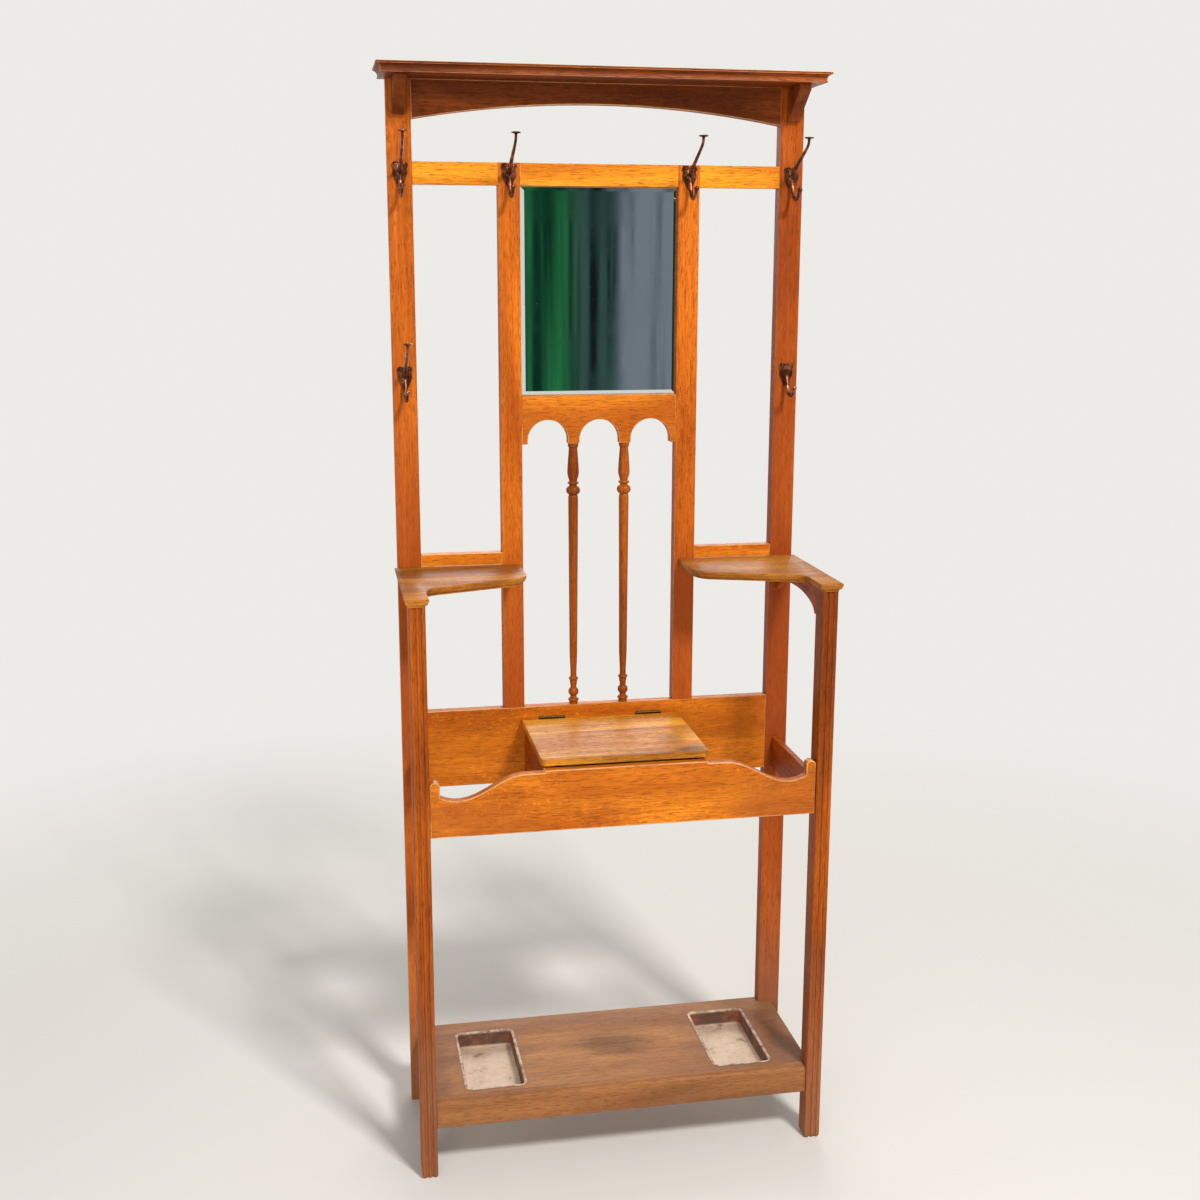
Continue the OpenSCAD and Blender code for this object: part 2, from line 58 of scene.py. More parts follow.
# ---------------------------------------------------------------- node helpers
class Graph:
    """Short calls for building one material's node tree."""

    def __init__(self, name):
        self.mat = bpy.data.materials.new(name)
        self.mat.use_nodes = True
        self.tree = self.mat.node_tree
        self.tree.nodes.clear()
        self.out = self.node("ShaderNodeOutputMaterial")
        self.bsdf = self.node("ShaderNodeBsdfPrincipled")
        self.link(self.bsdf.outputs[0], self.out.inputs[0])
        self.coords = self.node("ShaderNodeTexCoord").outputs["Object"]

    def node(self, kind, **settings):
        n = self.tree.nodes.new(kind)
        for key, value in settings.items():
            setattr(n, key, value)
        return n

    def link(self, a, b):
        self.tree.links.new(a, b)

    def put(self, socket, value):
        if isinstance(value, bpy.types.NodeSocket):
            self.link(value, socket)
        else:
            socket.default_value = value

    def math(self, op, a, b=0.0, c=0.0):
        n = self.node("ShaderNodeMath", operation=op)
        for socket, value in zip(n.inputs, (a, b, c)):
            self.put(socket, value)
        return n.outputs[0]

    def vmath(self, op, a, b):
        n = self.node("ShaderNodeVectorMath", operation=op)
        self.put(n.inputs[0], a)
        self.put(n.inputs[1], b)
        return n.outputs[0]

    def noise(self, vector, scale=1.0, detail=3.0, rough=0.5, distortion=0.0):
        n = self.node("ShaderNodeTexNoise")
        self.put(n.inputs["Vector"], vector)
        n.inputs["Scale"].default_value = scale
        n.inputs["Detail"].default_value = detail
        n.inputs["Roughness"].default_value = rough
        n.inputs["Distortion"].default_value = distortion
        return n.outputs[0]

    def remap(self, value, lo, hi, out_lo=0.0, out_hi=1.0):
        n = self.node("ShaderNodeMapRange", interpolation_type="SMOOTHSTEP")
        for socket, v in zip(n.inputs, (value, lo, hi, out_lo, out_hi)):
            self.put(socket, v)
        return n.outputs[0]

    def mix(self, fac, a, b):
        n = self.node("ShaderNodeMix", data_type="RGBA")
        self.put(n.inputs["Factor"], fac)
        self.put(n.inputs["A"], a)
        self.put(n.inputs["B"], b)
        return n.outputs["Result"]

    def paint(self, base, roughness, metallic=0.0):
        """Colour, roughness and metalness of the surface; each may be a number or a socket."""
        self.put(self.bsdf.inputs["Base Color"], base)
        self.put(self.bsdf.inputs["Roughness"], roughness)
        self.bsdf.inputs["Metallic"].default_value = metallic

    def bump(self, height, distance, strength):
        n = self.node("ShaderNodeBump")
        n.inputs["Strength"].default_value = strength
        n.inputs["Distance"].default_value = distance
        self.put(n.inputs["Height"], height)
        self.link(n.outputs[0], self.bsdf.inputs["Normal"])


def rgb(code, gain=1.0):
    """Linear colour from a display colour written as RRGGBB, made lighter or darker by gain."""
    out = []
    for i in (0, 2, 4):
        v = int(code[i:i + 2], 16) / 255
        v = v / 12.92 if v <= 0.04045 else ((v + 0.055) / 1.055) ** 2.4
        out.append(min(1.0, v * gain))
    return (*out, 1.0)


# ---------------------------------------------------------------- oak
def oak(name, light, dark, axis, seed, fleck=0.5, weather=0.0, rough=0.44, spots=()):
    """Stained quarter-sawn oak: axis is the way the grain runs, fleck how strong the rays show,
    weather how faded the foot is, and each spot a darker patch (centre, one over its reach, strength, colour)."""
    g = Graph(name)
    parts = g.node("ShaderNodeSeparateXYZ")
    g.link(g.coords, parts.inputs[0])
    order = {"x": (0, 1, 2), "y": (1, 0, 2), "z": (2, 0, 1)}[axis]
    turned = g.node("ShaderNodeCombineXYZ")
    for k, i in enumerate(order):
        g.link(parts.outputs[i], turned.inputs[k])
    shift = (0.37 * seed + 0.11, 0.173 * seed, 0.091 * seed + 0.05)
    p = g.vmath("ADD", turned.outputs[0], shift)     # along the grain, then across it twice

    tone = g.noise(g.vmath("MULTIPLY", p, (2.0, 13.0, 13.0)), detail=3.0, rough=0.55, distortion=0.6)
    streak = g.noise(g.vmath("MULTIPLY", p, (3.2, 150.0, 150.0)), detail=5.0, rough=0.65)
    rings = g.node("ShaderNodeTexWave", wave_type="BANDS", bands_direction="Y", wave_profile="SIN")
    g.put(rings.inputs["Vector"], g.vmath("MULTIPLY", p, (0.09, 1.0, 1.35)))
    rings.inputs["Scale"].default_value = 26.0
    rings.inputs["Distortion"].default_value = 7.0
    rings.inputs["Detail"].default_value = 2.5
    rings.inputs["Detail Scale"].default_value = 0.8
    pores = g.remap(g.noise(g.vmath("MULTIPLY", p, (55.0, 820.0, 820.0)), detail=2.0), 0.54, 0.68)
    hair = g.remap(g.noise(g.vmath("MULTIPLY", p, (16.0, 330.0, 330.0)), detail=4.0, rough=0.7), 0.50, 0.70)

    base = g.mix(g.remap(tone, 0.30, 0.72), rgb(dark), rgb(light))
    base = g.mix(g.math("MULTIPLY", g.remap(streak, 0.44, 0.70), 0.42), base, rgb(dark))
    base = g.mix(g.math("MULTIPLY", g.remap(rings.outputs[1], 0.55, 1.0), 0.20), base, rgb(dark, 0.72))

    # medullary rays: short pale ribbons lying across the grain, in patches
    skew = g.node("ShaderNodeMapping")
    g.link(p, skew.inputs["Vector"])
    skew.inputs["Rotation"].default_value = (0.0, 0.22, 0.30)
    ribbons = g.noise(g.vmath("MULTIPLY", skew.outputs[0], (95.0, 170.0, 170.0)),
                      detail=4.0, rough=0.62, distortion=0.7)
    patches = g.remap(g.noise(g.vmath("MULTIPLY", p, (4.0, 17.0, 17.0)), detail=2.0), 0.34, 0.66)
    rays = g.math("MULTIPLY", g.remap(ribbons, 0.52, 0.68), patches)
    base = g.mix(g.math("MULTIPLY", rays, fleck * 0.50), base, rgb(light, 1.35))

    base = g.mix(g.math("MULTIPLY", pores, 0.62), base, rgb(dark, 0.30))
    base = g.mix(g.math("MULTIPLY", hair, 0.38), base, rgb(dark, 0.42))

    # handling marks and small dark stains
    marks = g.remap(g.noise(g.vmath("MULTIPLY", p, (16.0, 60.0, 60.0)), detail=4.0, rough=0.7), 0.66, 0.80)
    base = g.mix(g.math("MULTIPLY", marks, 0.45), base, rgb(dark, 0.45))
    dull = g.math("MULTIPLY", marks, 0.2)
    if weather > 0:
        low = g.remap(parts.outputs[2], 0.50, 0.02)
        cloud = g.noise(g.vmath("MULTIPLY", p, (6.0, 30.0, 30.0)), detail=4.0, rough=0.6)
        cloud = g.remap(cloud, 0.25, 0.65, 0.45, 1.0)
        faded = g.math("MULTIPLY", g.math("MULTIPLY", low, cloud), weather)
        base = g.mix(faded, base, rgb("98684A"))
        dull = g.math("ADD", dull, g.math("MULTIPLY", faded, 0.22))
    # darker patches from SPOTS, painted shade on the stiles
    for centre, reach, strength, spot_colour in spots:
        far = g.node("ShaderNodeVectorMath", operation="LENGTH")
        g.link(g.vmath("MULTIPLY", g.vmath("SUBTRACT", g.coords, centre), reach), far.inputs[0])
        ragged = g.math("MULTIPLY_ADD", g.math("SUBTRACT", tone, 0.5), 1.1, far.outputs["Value"])
        ragged = g.math("MULTIPLY_ADD", g.math("SUBTRACT", streak, 0.5), 0.7, ragged)
        base = g.mix(g.math("MULTIPLY", g.remap(ragged, 1.15, 0.35), strength), base, rgb(spot_colour))
    gloss = g.math("MULTIPLY_ADD", g.remap(streak, 0.35, 0.75), 0.14, rough)
    gloss = g.math("MULTIPLY_ADD", pores, 0.18, gloss)
    gloss = g.math("MULTIPLY_ADD", rays, -0.10, gloss)
    g.paint(base, g.math("ADD", gloss, dull))
    g.bsdf.inputs["Specular IOR Level"].default_value = 0.13
    g.bsdf.inputs["Coat Weight"].default_value = 0.03
    g.bsdf.inputs["Coat Roughness"].default_value = 0.25
    height = g.math("MULTIPLY_ADD", pores, -1.0, g.math("MULTIPLY", streak, 0.55))
    height = g.math("MULTIPLY_ADD", rays, 0.25, height)
    height = g.math("MULTIPLY_ADD", marks, -0.5, height)
    g.bump(height, 0.00030, 0.85)
    return g.mat


def bronze(name):
    """Coppered bronze, brighter where it is rubbed."""
    g = Graph(name)
    spots = g.noise(g.coords, scale=260.0, detail=5.0, rough=0.65)
    broad = g.noise(g.coords, scale=55.0, detail=3.0)
    rubbed = g.remap(broad, 0.45, 0.66)
    col = g.mix(rubbed, rgb("5A3626"), rgb("A56A4C"))
    col = g.mix(g.remap(spots, 0.56, 0.74, 0.0, 0.75), col, rgb("2E1C15"))
    g.paint(col, g.remap(spots, 0.3, 0.75, 0.26, 0.52), metallic=1.0)
    g.bump(spots, 0.00018, 0.6)
    return g.mat


def old_brass(name):
    """Brass gone brown."""
    g = Graph(name)
    spots = g.noise(g.coords, scale=420.0, detail=4.0, rough=0.6)
    col = g.mix(g.remap(spots, 0.40, 0.70), rgb("5C4426"), rgb("2A1E12"))
    g.paint(col, g.remap(spots, 0.3, 0.7, 0.34, 0.56), metallic=1.0)
    g.bump(spots, 0.00010, 0.5)
    return g.mat


def zinc(name, floor_z):
    """Dull zinc sheet, dusty on the floor at floor_z, with rusty walls and a rim that is bare in places."""
    g = Graph(name)
    parts = g.node("ShaderNodeSeparateXYZ")
    g.link(g.coords, parts.inputs[0])
    spangle = g.node("ShaderNodeTexVoronoi", feature="F1")
    g.put(spangle.inputs["Vector"], g.coords)
    spangle.inputs["Scale"].default_value = 95.0
    cloud = g.noise(g.coords, scale=24.0, detail=6.0, rough=0.68)
    fine = g.noise(g.coords, scale=320.0, detail=3.0)
    pale = g.mix(g.remap(cloud, 0.35, 0.70), rgb("CDB49A"), rgb("B79A80"))
    pale = g.mix(g.math("MULTIPLY", spangle.outputs["Distance"], 0.35), pale, rgb("DCCBB6"))
    height = parts.outputs[2]
    wall = g.remap(height, floor_z + 0.0015, floor_z + 0.007)
    bare = g.remap(g.noise(g.coords, scale=70.0, detail=4.0, rough=0.7), 0.38, 0.60, 0.25, 1.0)
    rim = g.math("MULTIPLY", g.remap(height, floor_z + 0.0285, floor_z + 0.0310), bare)
    rust = g.mix(g.remap(cloud, 0.38, 0.62), rgb("8A4A2C"), rgb("4A2A1C"))
    rusty = g.math("MULTIPLY", wall, g.math("SUBTRACT", 1.0, rim))
    seep = g.math("MULTIPLY", g.remap(cloud, 0.58, 0.70), 0.6)
    col = g.mix(g.math("MAXIMUM", g.math("MULTIPLY", rusty, 0.92), seep), pale, rust)
    g.paint(col, g.remap(fine, 0.3, 0.7, 0.50, 0.78), metallic=0.25)
    g.bump(g.math("MULTIPLY_ADD", cloud, 0.6, g.math("MULTIPLY", fine, 0.4)), 0.0004, 0.6)
    return g.mat


def silvered(name):
    """Old mirror glass: clear over silver, with a faint haze and foxing specks."""
    g = Graph(name)
    haze = g.noise(g.coords, scale=9.0, detail=4.0, rough=0.6)
    specks = g.remap(g.noise(g.coords, scale=230.0, detail=2.0), 0.72, 0.80)
    col = g.mix(specks, rgb("DDE4E0"), rgb("6E6558"))
    blur = g.math("MULTIPLY_ADD", specks, 0.3, g.remap(haze, 0.35, 0.75, 0.015, 0.055))
    g.paint(col, blur, metallic=1.0)
    return g.mat


# ---------------------------------------------------------------- mesh helpers
def add_piece(name, mesh, node, mat, bevel=0.0, segments=2, edge_mat=None):
    """Puts a mesh in the scene as the visible form of a CAD node, its arrises eased by bevel metres."""
    obj = bpy.data.objects.new(name, mesh)
    bpy.context.scene.collection.objects.link(obj)
    mesh.materials.clear()
    mesh.materials.append(mat)
    mesh.shade_smooth()
    mesh.set_sharp_from_angle(angle=SMOOTH_UNDER)
    if bevel > 0:
        mod = obj.modifiers.new("edge", "BEVEL")
        mod.width = bevel
        mod.segments = segments
        mod.limit_method = "ANGLE"
        mod.angle_limit = SMOOTH_UNDER
        mod.harden_normals = True
        mod.use_clamp_overlap = True
        if edge_mat:
            mesh.materials.append(edge_mat)
            mod.material = 1
    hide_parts(node)
    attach(obj, BODY[node])


def planed(node, mat, bevel, segments, edge_mat):
    """The CAD board with its flat faces made whole and its arrises eased."""
    mesh = NODES[node].data.copy()
    bm = bmesh.new()
    bm.from_mesh(mesh)
    bmesh.ops.remove_doubles(bm, verts=bm.verts, dist=0.5e-6)
    bmesh.ops.dissolve_limit(bm, angle_limit=math.radians(0.4), verts=bm.verts, edges=bm.edges)
    bmesh.ops.recalc_face_normals(bm, faces=bm.faces)
    bm.to_mesh(mesh)
    bm.free()
    add_piece("wood_" + node, mesh, node, mat, bevel, segments, edge_mat)


def mesh_from(name, verts, faces):
    mesh = bpy.data.meshes.new(name)
    mesh.from_pydata(verts, [], faces)
    mesh.update()
    return mesh


def close_up(mesh):
    """Merges points that coincide and turns every face outwards."""
    bm = bmesh.new()
    bm.from_mesh(mesh)
    bmesh.ops.remove_doubles(bm, verts=bm.verts, dist=1e-7)
    bmesh.ops.recalc_face_normals(bm, faces=bm.faces)
    bm.to_mesh(mesh)
    bm.free()
    return mesh


def stack_rings(rings):
    """Vertices and faces of a closed skin over rings that all have as many points."""
    n = len(rings[0])
    verts = [tuple(p) for ring in rings for p in ring]
    faces = []
    for k in range(len(rings) - 1):
        for i in range(n):
            j = (i + 1) % n
            faces.append((k * n + i, k * n + j, (k + 1) * n + j, (k + 1) * n + i))
    faces.append(tuple(range(n - 1, -1, -1)))
    faces.append(tuple((len(rings) - 1) * n + i for i in range(n)))
    return verts, faces


def lathe(profile, centre, steps=48):
    """Profile of (radius, height) turned about a vertical line through centre."""
    rings = []
    for r, h in profile:
        turn = [2 * math.pi * i / steps for i in range(steps)]
        rings.append([(centre[0] + r * math.cos(a), centre[1] + r * math.sin(a), centre[2] + h) for a in turn])
    return stack_rings(rings)


def smooth_path(points, per):
    """Catmull-Rom curve through points of (y, z, radius), per steps between each two."""
    pts = [Vector(points[0]) * 2 - Vector(points[1])] + [Vector(p) for p in points]
    pts.append(Vector(points[-1]) * 2 - Vector(points[-2]))
    out = []
    for i in range(1, len(pts) - 2):
        a, b, c, d = pts[i - 1:i + 3]
        for k in range(per):
            t = k / per
            out.append(0.5 * (2 * b + (c - a) * t + (2 * a - 5 * b + 4 * c - d) * t * t
                              + (3 * b - a - 3 * c + d) * t ** 3))
    out.append(pts[-2])
    return out


def tube(path, steps=20):
    """A round rod along a path of (y, z, radius) in the plane x = 0."""
    rings = []
    for i, p in enumerate(path):
        a = path[max(0, i - 1)]
        b = path[min(len(path) - 1, i + 1)]
        along = Vector((0.0, b[0] - a[0], b[1] - a[1])).normalized()
        side = Vector((1.0, 0.0, 0.0))
        up = along.cross(side)
        centre = Vector((0.0, p[0], p[1]))
        rings.append([centre + p[2] * (math.cos(2 * math.pi * k / steps) * side
                                       + math.sin(2 * math.pi * k / steps) * up) for k in range(steps)])
    return stack_rings(rings)


def join_shells(shells):
    """Vertices and faces of several skins, as one."""
    verts, faces = [], []
    for v, f in shells:
        base = len(verts)
        verts += [tuple(p) for p in v]
        faces += [tuple(base + i for i in face) for face in f]
    return verts, faces


# ---------------------------------------------------------------- sizes read back from the frame
def lo(node):
    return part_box(node)[0]


def hi(node):
    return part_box(node)[1]


FACE_Y = lo("right_back_stile").y          # front face of the back frame
LEG_Y = lo("right_front_leg").y            # front face of the legs
LEG_IN = lo("right_front_leg").x
LEG_OUT = hi("right_front_leg").x

# ---------------------------------------------------------------- wood
STILE = ("D87012", "A04808")
STILE_DEEP = ("C05C12", "863606")
# SHADED: darker oak for the top rail, cornice and corbels, painted shade of the cornice's overhang
SHADED = ("9A4A16", "5E280A")
HONEY = ("F69E22", "C86C0A")
AMBER = ("E6851C", "B0560C")
GOLD = ("FFB034", "B4660E")
NUT = ("DA984A", "86501E")
NUT_DEEP = ("A86A34", "643A18")
BROWN = ("9A6A42", "6A4228")

WOOD = {
    # node: (colours, grain, fleck, weather, bevel)
    "left_back_stile": (STILE, "z", 0.45, 0.70, 0.0016),
    "right_back_stile": (STILE_DEEP, "z", 0.45, 0.70, 0.0016),
    "left_inner_stile": (STILE, "z", 0.40, 0.0, 0.0014),
    "right_inner_stile": (STILE, "z", 0.40, 0.0, 0.0014),
    "top_rail": (SHADED, "x", 0.4, 0.0, 0.0014),
    "cornice": (SHADED, "x", 0.4, 0.0, 0.0012),
    "left_corbel": (SHADED, "z", 0.2, 0.0, 0.0012),
    "right_corbel": (SHADED, "z", 0.2, 0.0, 0.0012),
    "hook_rail_left": (HONEY, "x", 0.45, 0.0, 0.0011),
    "hook_rail_centre": (HONEY, "x", 0.45, 0.0, 0.0011),
    "hook_rail_right": (HONEY, "x", 0.45, 0.0, 0.0011),
    "arcade_rail": (AMBER, "x", 0.35, 0.0, 0.0013),
    "left_shelf_rail": (AMBER, "x", 0.5, 0.0, 0.0013),
    "right_shelf_rail": (AMBER, "x", 0.5, 0.0, 0.0013),
    "back_board": (AMBER, "x", 0.8, 0.0, 0.0014),
    "mirror_backing": (BROWN, "z", 0.1, 0.0, 0.0004),
    "mirror_beads": (BROWN, "z", 0.1, 0.0, 0.0008),
    "left_side_apron": (STILE_DEEP, "y", 0.3, 0.0, 0.0012),
    "right_side_apron": (STILE_DEEP, "y", 0.3, 0.0, 0.0012),
    "front_apron": (AMBER, "x", 0.9, 0.0, 0.0022),
    "left_side_rail": (STILE_DEEP, "y", 0.3, 0.0, 0.0016),
    "right_side_rail": (STILE_DEEP, "y", 0.3, 0.0, 0.0016),
    "box_left_side": (STILE_DEEP, "y", 0.2, 0.0, 0.0008),
    "box_right_side": (STILE_DEEP, "y", 0.2, 0.0, 0.0008),
    "box_bottom": (STILE_DEEP, "x", 0.1, 0.0, 0.0006),
    "box_cleats": (STILE_DEEP, "y", 0.1, 0.0, 0.0008),
    "lid_ledge": (AMBER, "x", 0.4, 0.0, 0.0010),
    "lid": (GOLD, "x", 0.7, 0.0, 0.0034),
    "base_board": (NUT, "x", 0.4, 0.9, 0.0012),
    "base_front_rail": (NUT_DEEP, "x", 0.3, 0.5, 0.0012),
    "base_back_rail": (STILE_DEEP, "x", 0.2, 0.6, 0.0010),
    "left_base_rail": (STILE_DEEP, "y", 0.2, 0.6, 0.0010),
    "right_base_rail": (STILE_DEEP, "y", 0.2, 0.6, 0.0010),
    "base_glue_blocks": (BROWN, "x", 0.0, 0.3, 0.0014),
}
# paler wood on the eased arrises, one for each way of the grain: worn wood and a painted highlight where the
# arrises catch the light
EDGE_WEAR_AND_HIGHLIGHT = {way: oak("oak_wear_and_highlight_" + way, "F2B87A", "B06A30", way, 90 + i, 0.2) for i, way in enumerate("xyz")}
WEAR_AND_HIGHLIGHT_BOARDS = {"cornice", "front_apron", "lid", "base_board", "back_board", "hook_rail_centre", "arcade_rail",
          "left_shelf_rail", "right_shelf_rail", "left_back_stile", "right_back_stile", "left_inner_stile",
          "right_inner_stile", "top_rail"}
BASE_TOP = hi("base_board").z
LID_TOP = hi("lid").z
APRON_FOOT = lo("front_apron").z
TRAY_X = (lo("right_drip_tray").x + hi("right_drip_tray").x) / 2
SPOTS = {
    # (centre, one over the reach on each axis, strength, colour)
    "base_board": [((0.01, 0.02, BASE_TOP), (9.0, 17.0, 20.0), 0.62, "55331C"),
                   ((TRAY_X, 0.0, BASE_TOP), (9.5, 6.6, 20.0), 0.55, "7E5C48"),
                   ((-TRAY_X, 0.0, BASE_TOP), (9.5, 6.6, 20.0), 0.60, "7E5C48"),
                   ((0.35, 0.0, BASE_TOP), (22.0, 3.0, 20.0), 0.50, "6E4E3C"),
                   ((-0.35, 0.0, BASE_TOP), (22.0, 3.0, 20.0), 0.50, "6E4E3C"),
                   ((0.0, 0.14, BASE_TOP), (1.6, 26.0, 20.0), 0.45, "8C6650")],
    "lid": [((0.10, -0.05, LID_TOP), (30.0, 30.0, 20.0), 0.4, "4A2A10"),
            ((0.128, -0.115, LID_TOP), (26.0, 60.0, 20.0), 0.7, "3E2410"),
            ((-0.02, -0.10, LID_TOP), (9.0, 120.0, 20.0), 0.40, "5C3514"),
            ((0.03, 0.02, LID_TOP), (7.0, 190.0, 20.0), 0.50, "4E2C10"),
            ((-0.05, 0.06, LID_TOP), (10.0, 180.0, 20.0), 0.40, "5C3514"),
            ((0.0, -0.127, LID_TOP), (5.0, 150.0, 20.0), 0.5, "5E3616")],
    # painted shade: the stiles darker below the shelves, where the shelves shadow them; the apron's ends darker
    # at their foot
    "left_inner_stile": [((-0.165, FACE_Y, 0.80), (1.0, 1.0, 2.3), 0.75, "9A4416")],
    "right_inner_stile": [((0.165, FACE_Y, 0.80), (1.0, 1.0, 2.3), 0.70, "A04816")],
    "left_back_stile": [((-0.356, FACE_Y, 0.90), (1.0, 1.0, 1.5), 0.60, "9A4418")],
    "right_back_stile": [((0.356, FACE_Y, 0.90), (1.0, 1.0, 1.5), 0.50, "9A4418")],
    "front_apron": [((-0.30, LEG_Y, APRON_FOOT + 0.02), (7.0, 4.0, 16.0), 0.45, "9A4E1C"),
                    ((0.30, LEG_Y, APRON_FOOT + 0.03), (7.0, 4.0, 14.0), 0.50, "9A4E1C")],
}
for seed, (node_name, (tint, grain, fleck, weather, bevel)) in enumerate(WOOD.items(), start=1):
    segments = 4 if bevel > 0.003 else 3 if bevel > 0.002 else 2
    mat = oak("oak_" + node_name, *tint, grain, seed, fleck, weather, spots=SPOTS.get(node_name, ()))
    planed(node_name, mat, bevel, segments, EDGE_WEAR_AND_HIGHLIGHT[grain] if node_name in WEAR_AND_HIGHLIGHT_BOARDS else None)


# ---------------------------------------------------------------- front legs
def leg_section(w, d):
    """A leg's outline, w wide and d deep, from its front left corner round, in metres:
    three rounded reeds with two grooves between them, and eased back corners."""
    groove = w / 6             # each groove's middle, from the leg's middle
    groove_half = 0.0022
    bed_half = 0.0008          # the groove's flat bed
    bed_depth = 0.0034
    reed_rise = 0.0028
    ease = 0.0015
    reeds = [(-w / 2, -groove - groove_half), (-groove + groove_half, groove - groove_half),
             (groove + groove_half, w / 2)]
    pts = []
    for k, (a, b) in enumerate(reeds):
        for i in range(11):
            t = math.pi * (1 - i / 10)
            rise = reed_rise * math.sin(t) ** 0.75
            pts.append(((a + b) / 2 + (b - a) / 2 * math.cos(t), reed_rise - rise))
        if k < 2:
            mid = b + groove_half
            pts += [(mid - bed_half, bed_depth), (mid + bed_half, bed_depth)]
    pts[0] = (-w / 2, bed_depth)
    pts[-1] = (w / 2, bed_depth)
    pts += [(w / 2, d - ease), (w / 2 - ease, d), (-w / 2 + ease, d), (-w / 2, d - ease)]
    return pts


def front_leg(side, seed):
    node = side + "_front_leg"
    cx = (lo(node).x + hi(node).x) / 2
    top = hi(node).z
    # (height, share of the full section): the foot is worn round
    levels = [(0.0, 0.90), (0.003, 0.97), (0.008, 1.0), (top - 0.0005, 1.0), (top, 1.0)]
    depth = hi(node).y - LEG_Y
    section = leg_section(LEG_OUT - LEG_IN, depth)
    rings = []
    for z, s in levels:
        rings.append([(cx + x * s, LEG_Y + depth / 2 + (y - depth / 2) * s, z) for x, y in section])
    v, f = stack_rings(rings)
    mat = oak("oak_" + node, "B65A14", "7A3408", "z", seed, 0.25, 0.75)
    add_piece("wood_" + node, close_up(mesh_from(node, v, f)), node, mat)


front_leg("left", 51)
front_leg("right", 52)


# ---------------------------------------------------------------- shelves
def arc(cx, cy, r, a0, a1, n):
    """Points on an arc of n steps from angle a0 to a1, in radians."""
    turn = [a0 + (a1 - a0) * i / n for i in range(n + 1)]
    return [(cx + r * math.cos(a), cy + r * math.sin(a)) for a in turn]


def shelf_plan(d):
    """The right shelf's serpentine outline, stepped in by d metres on its free edges,
    with as many points for every d."""
    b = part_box("right_shelf")
    x_in, y_back, x_out, y_front = b[0].x, b[1].y, b[1].x, b[0].y
    r1, r2, slope = 47 * MM, 34 * MM, math.radians(19)
    # the round nose by the inner stile, ending at e1 where the slanting edge starts
    down = math.radians(270) - slope
    c1 = (x_in + r1, y_back - 0.35 * (FACE_Y - LEG_Y))
    e1 = (c1[0] + r1 * math.cos(down), c1[1] + r1 * math.sin(down))
    # the hollow that turns the edge forward to the arm over the leg
    xe = LEG_IN - 6 * MM
    s2x = xe - r2 + r2 * math.sin(slope)
    c2 = (xe - r2, e1[1] - (s2x - e1[0]) * math.tan(slope) - r2 * math.cos(slope))
    pts = [(x_in + d, y_back)]
    pts += arc(*c1, r1 - d, math.pi, down, 20)
    pts += arc(*c2, r2 + d, math.radians(90) - slope, 0.0, 16)
    pts += [(xe + d, y_front + d), (x_out - d, y_front + d), (x_out - d, y_back)]
    return pts


def shelf(side, seed):
    node = side + "_shelf"
    z0, z1 = lo(node).z, hi(node).z
    s = 1 if side == "right" else -1
    # the moulded edge from the underside up: (step in, height) in millimetres of a 15 mm board
    thick = 15.0
    edge = [(6.0, 0.0), (6.0, 3.2), (4.8, 3.8)]
    edge += [(4.8 - 3.6 * math.sin(math.radians(a)), 3.8 + 5.4 * (1 - math.cos(math.radians(a))))
             for a in range(15, 91, 15)]
    edge += [(0.5, 9.9), (0.0, 10.4), (0.0, 13.8), (0.35, 14.6), (1.1, thick)]
    rings = []
    for d, h in edge:
        z = z0 + (z1 - z0) * h / thick
        rings.append([(s * x, y, z) for x, y in shelf_plan(d * MM)])
    v, f = stack_rings(rings)
    mat = oak("oak_" + node, "C8802E", "82460F", "x", seed, 0.6)
    add_piece("wood_" + node, close_up(mesh_from(node, v, f)), node, mat)


shelf("left", 61)
shelf("right", 62)


# ---------------------------------------------------------------- spindles
def bead(c_r, c_h, r, a0, a1, n=10):
    """A rounded member of a turning, from angle a0 to a1 in degrees."""
    return arc(c_r, c_h, r, math.radians(a0), math.radians(a1), n)


def spindle(side, seed):
    node = side + "_spindle"
    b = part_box(node)
    cx, cy = (b[0].x + b[1].x) / 2, (b[0].y + b[1].y) / 2
    h = (b[1].z - b[0].z) / MM
    # (radius, height) in millimetres, from the foot up
    prof = [(0.01, 0.0), (7.6, 0.0), (8.0, 0.5), (8.0, 4.2), (7.2, 4.9)]
    prof += bead(6.9, 8, 3.3, -70, 70)
    prof += [(6.3, 11.9), (6.2, 14.6)]
    prof += bead(0, 24, 9.8, -56, 56, 18)
    prof += [(5.7, 33.6), (5.9, 37), (6.6, 41), (7.3, 45.6), (7.0, 46.8)]
    prof += bead(6.1, 50, 2.9, -75, 75)
    prof += [(6.0, 53.6), (5.8, 58), (5.9, 66), (6.6, 80), (7.4, 100), (9.3, h - 104), (9.0, h - 99),
             (7.6, h - 96.4)]
    prof += bead(4.5, h - 88, 8.7, -62, 62, 18)
    prof += [(7.3, h - 79.2), (7.2, h - 77.4)]
    prof += bead(7.9, h - 74, 2.5, -80, 80)
    prof += [(7.5, h - 71), (7.9, h - 68), (9.4, h - 63.5), (10.6, h - 58.5), (10.9, h - 53), (10.5, h - 44),
             (9.5, h - 30), (8.6, h - 18), (8.1, h - 10), (8.1, h - 8.2), (8.6, h - 7.4), (9.6, h - 6.4),
             (9.8, h - 5.6), (9.8, h - 0.4), (9.5, h), (0.01, h)]
    v, f = lathe([(r * MM, z * MM) for r, z in prof], (cx, cy, b[0].z))
    mat = oak("oak_" + node, "AC5612", "743004", "z", seed, 0.1, rough=0.27)
    add_piece("wood_" + node, close_up(mesh_from(node, v, f)), node, mat)


spindle("left", 71)
spindle("right", 72)


